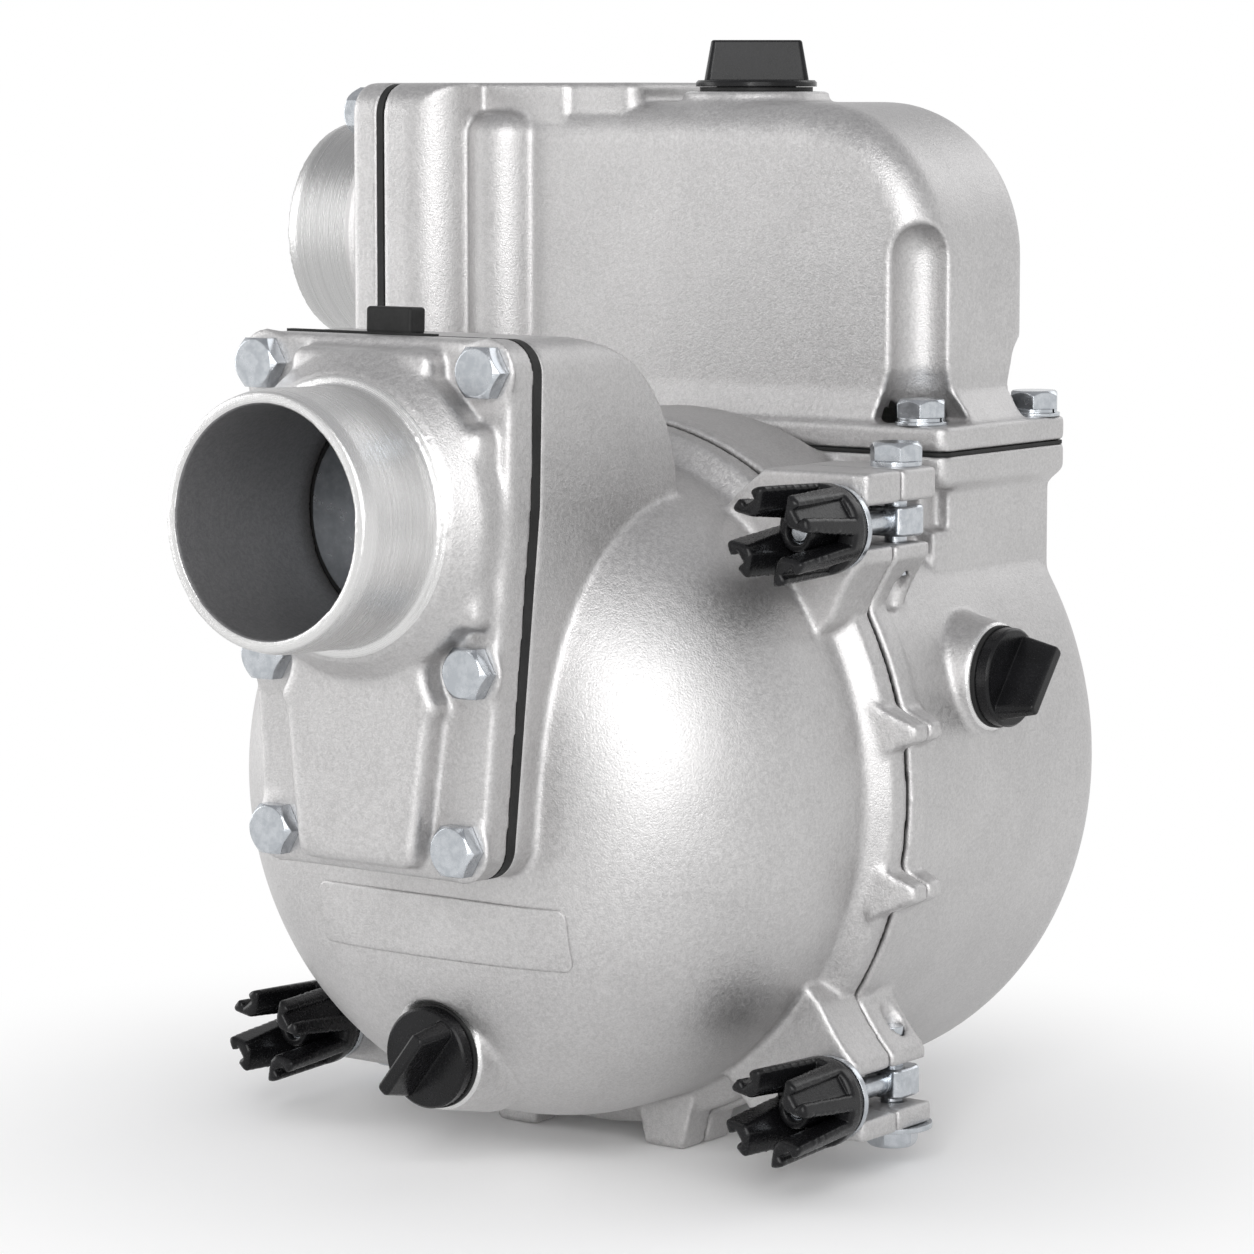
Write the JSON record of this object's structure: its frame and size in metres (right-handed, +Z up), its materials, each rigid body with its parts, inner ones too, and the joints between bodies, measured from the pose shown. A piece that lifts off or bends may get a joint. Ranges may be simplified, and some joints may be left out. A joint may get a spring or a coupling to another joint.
{
  "type": "slurry pump",
  "caption": "Self-priming trash and slurry pump end in cast aluminium, with flanged hose nozzles, swing bolt clamps and an impeller chamber.",
  "frame": {"origin": "on the shaft line, in the face that bolts to the engine", "axes": "+Z up, -Y towards the suction nozzle, +Y towards the engine, -X towards the discharge nozzle"},
  "size_m": [0.3493, 0.3428, 0.4012],
  "materials": {
    "cast_aluminium": "bead blasted casting",
    "zinc_steel": "bright zinc plated",
    "black_plastic": "moulded, satin",
    "black_rubber": "matt",
    "ductile_iron": "as cast",
    "shaft_steel": "turned",
    "ceramic": "lapped",
    "carbon": "lapped"
  },
  "bodies": {
    "pump": {"rear_casing": "cast_aluminium", "front_cover": "cast_aluminium", "cover_seal": "black_rubber", "discharge_tank": "cast_aluminium", "tank_gasket": "black_rubber", "tank_bolts": "zinc_steel", "tank_washers": "zinc_steel", "suction_flange": "cast_aluminium", "suction_gasket": "black_rubber", "suction_bolts": "zinc_steel", "discharge_flange": "cast_aluminium", "discharge_gasket": "black_rubber", "discharge_bolts": "zinc_steel", "volute": "ductile_iron", "volute_screws": "zinc_steel", "wear_plate": "ductile_iron", "wear_plate_screws": "zinc_steel", "seal_seat": "ceramic", "pivot_bolts": "zinc_steel", "pivot_washers": "zinc_steel"},
    "swing_bolt_top_right": {"swing_bolt_top_right": "zinc_steel"},
    "knob_washer_top_right": {"knob_washer_top_right": "zinc_steel"},
    "clamp_knob_top_right": {"clamp_knob_top_right": "black_plastic"},
    "swing_bolt_top_left": {"swing_bolt_top_left": "zinc_steel"},
    "knob_washer_top_left": {"knob_washer_top_left": "zinc_steel"},
    "clamp_knob_top_left": {"clamp_knob_top_left": "black_plastic"},
    "swing_bolt_bottom_right": {"swing_bolt_bottom_right": "zinc_steel"},
    "knob_washer_bottom_right": {"knob_washer_bottom_right": "zinc_steel"},
    "clamp_knob_bottom_right": {"clamp_knob_bottom_right": "black_plastic"},
    "swing_bolt_bottom_left": {"swing_bolt_bottom_left": "zinc_steel"},
    "knob_washer_bottom_left": {"knob_washer_bottom_left": "zinc_steel"},
    "clamp_knob_bottom_left": {"clamp_knob_bottom_left": "black_plastic"},
    "filler_cap_gasket": {"filler_cap_gasket": "black_rubber"},
    "filler_cap": {"filler_cap": "black_plastic"},
    "front_drain_gasket": {"front_drain_gasket": "black_rubber"},
    "front_drain_plug": {"front_drain_plug": "black_plastic"},
    "side_drain_gasket": {"side_drain_gasket": "black_rubber"},
    "side_drain_plug": {"side_drain_plug": "black_plastic"},
    "rotor": {"impeller": "ductile_iron", "impeller_bolt": "zinc_steel", "stub_shaft": "shaft_steel", "shaft_set_screw": "zinc_steel", "seal_face": "carbon", "seal_spring": "shaft_steel"},
    "flap": {"suction_flap": "black_rubber", "flap_weight_inner": "zinc_steel", "flap_weight_outer": "zinc_steel", "flap_rivet": "zinc_steel"}
  },
  "joints": [
    {"name": "swing_top_right", "type": "hinge", "parent": "pump", "child": "swing_bolt_top_right", "pos_m": [0.1147, -0.136, 0.097], "axis": [0, 0, 1], "range_deg": [0, 95]},
    {"name": "loosen_top_right", "type": "slide", "parent": "swing_bolt_top_right", "child": "knob_washer_top_right", "axis": [0, -1, 0], "range_m": [0, 0.0025]},
    {"name": "turn_knob_top_right", "type": "hinge", "parent": "knob_washer_top_right", "child": "clamp_knob_top_right", "pos_m": [0.1147, -0.181, 0.097], "axis": [0, -1, 0], "range_deg": [0, 720]},
    {"name": "swing_top_left", "type": "hinge", "parent": "pump", "child": "swing_bolt_top_left", "pos_m": [-0.1147, -0.136, 0.097], "axis": [0, 0, -1], "range_deg": [0, 95]},
    {"name": "loosen_top_left", "type": "slide", "parent": "swing_bolt_top_left", "child": "knob_washer_top_left", "axis": [0, -1, 0], "range_m": [0, 0.0025]},
    {"name": "turn_knob_top_left", "type": "hinge", "parent": "knob_washer_top_left", "child": "clamp_knob_top_left", "pos_m": [-0.1147, -0.181, 0.097], "axis": [0, -1, 0], "range_deg": [0, 720]},
    {"name": "swing_bottom_right", "type": "hinge", "parent": "pump", "child": "swing_bolt_bottom_right", "pos_m": [0.1147, -0.136, -0.104], "axis": [0, 0, 1], "range_deg": [0, 95]},
    {"name": "loosen_bottom_right", "type": "slide", "parent": "swing_bolt_bottom_right", "child": "knob_washer_bottom_right", "axis": [0, -1, 0], "range_m": [0, 0.0025]},
    {"name": "turn_knob_bottom_right", "type": "hinge", "parent": "knob_washer_bottom_right", "child": "clamp_knob_bottom_right", "pos_m": [0.1147, -0.181, -0.104], "axis": [0, -1, 0], "range_deg": [0, 720]},
    {"name": "swing_bottom_left", "type": "hinge", "parent": "pump", "child": "swing_bolt_bottom_left", "pos_m": [-0.1147, -0.136, -0.104], "axis": [0, 0, -1], "range_deg": [0, 95]},
    {"name": "loosen_bottom_left", "type": "slide", "parent": "swing_bolt_bottom_left", "child": "knob_washer_bottom_left", "axis": [0, -1, 0], "range_m": [0, 0.0025]},
    {"name": "turn_knob_bottom_left", "type": "hinge", "parent": "knob_washer_bottom_left", "child": "clamp_knob_bottom_left", "pos_m": [-0.1147, -0.181, -0.104], "axis": [0, -1, 0], "range_deg": [0, 720]},
    {"name": "filler_cap_travel", "type": "slide", "parent": "pump", "child": "filler_cap_gasket", "axis": [0, 0, 1], "range_m": [0, 0.012]},
    {"name": "filler_cap_turn", "type": "hinge", "parent": "filler_cap_gasket", "child": "filler_cap", "pos_m": [0, -0.0592, 0.247], "axis": [0, 0, 1], "range_deg": [0, 1080]},
    {"name": "front_drain_travel", "type": "slide", "parent": "pump", "child": "front_drain_gasket", "axis": [0, -1, 0], "range_m": [0, 0.012]},
    {"name": "front_drain_turn", "type": "hinge", "parent": "front_drain_gasket", "child": "front_drain_plug", "pos_m": [0, -0.2525, -0.09], "axis": [0, -1, 0], "range_deg": [0, 1080]},
    {"name": "side_drain_travel", "type": "slide", "parent": "pump", "child": "side_drain_gasket", "axis": [1, 0, 0], "range_m": [0, 0.012]},
    {"name": "side_drain_turn", "type": "hinge", "parent": "side_drain_gasket", "child": "side_drain_plug", "pos_m": [0.1325, -0.096, 0.0385], "axis": [1, 0, 0], "range_deg": [0, 1080]},
    {"name": "rotor_spin", "type": "hinge", "parent": "pump", "child": "rotor", "pos_m": [0, -0.09, 0], "axis": [0, 1, 0], "continuous": true},
    {"name": "flap_hinge", "type": "hinge", "parent": "pump", "child": "flap", "pos_m": [0, -0.26884, 0.15304], "axis": [1, 0, 0], "range_deg": [0, 45], "stiffness_Nm_per_rad": 0.2, "springref_deg": -1.72}
  ],
  "couplings": [
    {"joint": "turn_knob_top_right", "follows": "loosen_top_right", "rad_per_m": 5026.5},
    {"joint": "turn_knob_top_left", "follows": "loosen_top_left", "rad_per_m": 5026.5},
    {"joint": "turn_knob_bottom_right", "follows": "loosen_bottom_right", "rad_per_m": 5026.5},
    {"joint": "turn_knob_bottom_left", "follows": "loosen_bottom_left", "rad_per_m": 5026.5},
    {"joint": "filler_cap_turn", "follows": "filler_cap_travel", "rad_per_m": 1570.7},
    {"joint": "front_drain_turn", "follows": "front_drain_travel", "rad_per_m": 1570.7},
    {"joint": "side_drain_turn", "follows": "side_drain_travel", "rad_per_m": 1570.7}
  ]
}
